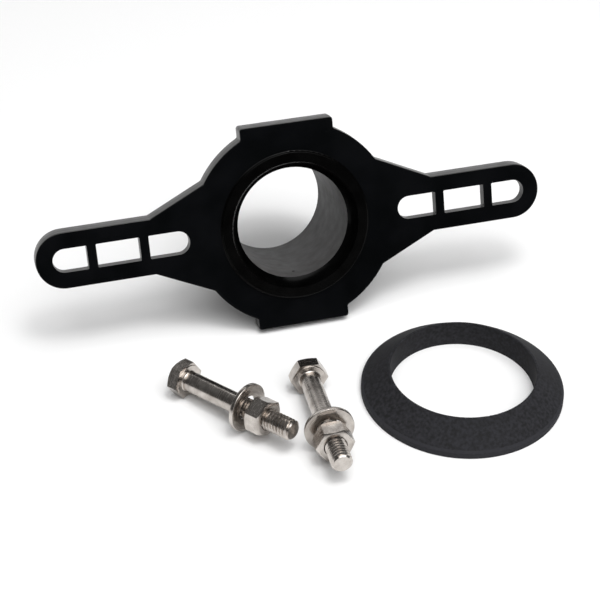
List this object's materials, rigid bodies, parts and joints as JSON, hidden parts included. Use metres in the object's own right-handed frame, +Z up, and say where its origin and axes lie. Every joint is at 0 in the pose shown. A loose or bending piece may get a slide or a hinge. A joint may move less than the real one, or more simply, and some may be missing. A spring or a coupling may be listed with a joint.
{
  "type": "plumbing outlet flange kit",
  "caption": "Slotted plastic outlet flange with spigot, its tapered rubber gasket, and hex bolts with washers and nuts, laid out loose on a floor.",
  "frame": {"origin": "on the floor the kit lies on, at the middle of the kit's outline", "axes": "+X along the flange's arms, +Z up, -Y towards the front, where the gasket and the bolts lie"},
  "size_m": [0.2034, 0.1593, 0.0791],
  "materials": {
    "moulded_abs": "black moulded ABS, fine texture on the front face",
    "gasket_rubber": "matt moulded rubber with a dusty bloom",
    "stainless_steel": "stainless steel, cold formed and turned"
  },
  "bodies": {
    "flange": {"flange_body": "moulded_abs"},
    "gasket": {"gasket": "gasket_rubber"},
    "bolt_left": {"bolt_left": "stainless_steel"},
    "washer_left": {"washer_left": "stainless_steel"},
    "nut_left": {"nut_left": "stainless_steel"},
    "bolt_right": {"bolt_right": "stainless_steel"},
    "washer_right": {"washer_right": "stainless_steel"},
    "nut_right": {"nut_right": "stainless_steel"}
  },
  "joints": [
    {"name": "gasket_lift", "type": "slide", "parent": "flange", "child": "gasket", "axis": [0, 0, 1], "range_m": [0, 0.15]},
    {"name": "bolt_left_lift", "type": "slide", "parent": "flange", "child": "bolt_left", "axis": [0, 0, 1], "range_m": [0, 0.15]},
    {"name": "washer_left_slide", "type": "slide", "parent": "bolt_left", "child": "washer_left", "axis": [0.5822, -0.8102, 0.0674], "range_m": [-0.00566, 0.01131]},
    {"name": "nut_left_turn", "type": "hinge", "parent": "washer_left", "child": "nut_left", "pos_m": [-0.03376, -0.04305, 0.0089], "axis": [0.5822, -0.8102, 0.0674], "range_deg": [-1440, 2880]},
    {"name": "bolt_right_lift", "type": "slide", "parent": "flange", "child": "bolt_right", "axis": [0, 0, 1], "range_m": [0, 0.15]},
    {"name": "washer_right_slide", "type": "slide", "parent": "bolt_right", "child": "washer_right", "axis": [-0.0435, -0.997, 0.0633], "range_m": [-0.00708, 0.0099]},
    {"name": "nut_right_turn", "type": "hinge", "parent": "washer_right", "child": "nut_right", "pos_m": [-0.01029, -0.06215, 0.00884], "axis": [-0.0435, -0.997, 0.0633], "range_deg": [-1800, 2520]}
  ],
  "couplings": [
    {"joint": "washer_left_slide", "follows": "nut_left_turn", "m_per_rad": 0.00022459},
    {"joint": "washer_right_slide", "follows": "nut_right_turn", "m_per_rad": 0.00022459}
  ]
}
